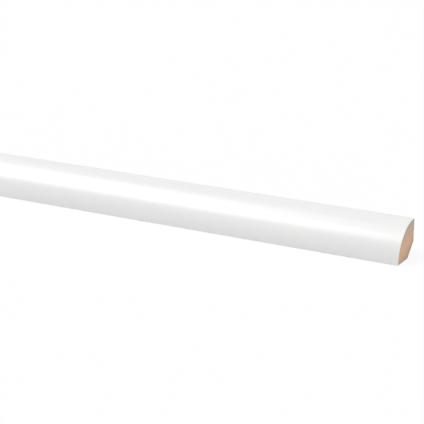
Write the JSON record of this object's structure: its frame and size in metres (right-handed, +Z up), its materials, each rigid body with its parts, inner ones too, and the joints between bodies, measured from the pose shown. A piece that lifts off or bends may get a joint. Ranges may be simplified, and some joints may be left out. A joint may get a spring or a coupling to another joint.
{
  "type": "quarter round moulding",
  "caption": "Straight quarter round moulding with a white satin round face, a chamfered back corner and raw sawn ends, used to cover the joint between a floor and a wall.",
  "frame": {"origin": "middle of the footprint, on the floor that the moulding lies on", "axes": "+X along the length, +Y out of the wall leg, away from the round face, +Z up out of the floor"},
  "size_m": [2.4, 0.014, 0.014],
  "materials": {
    "white_finished_board": "satin"
  },
  "bodies": {
    "root": {"quarter_round": "white_finished_board"}
  },
  "joints": []
}
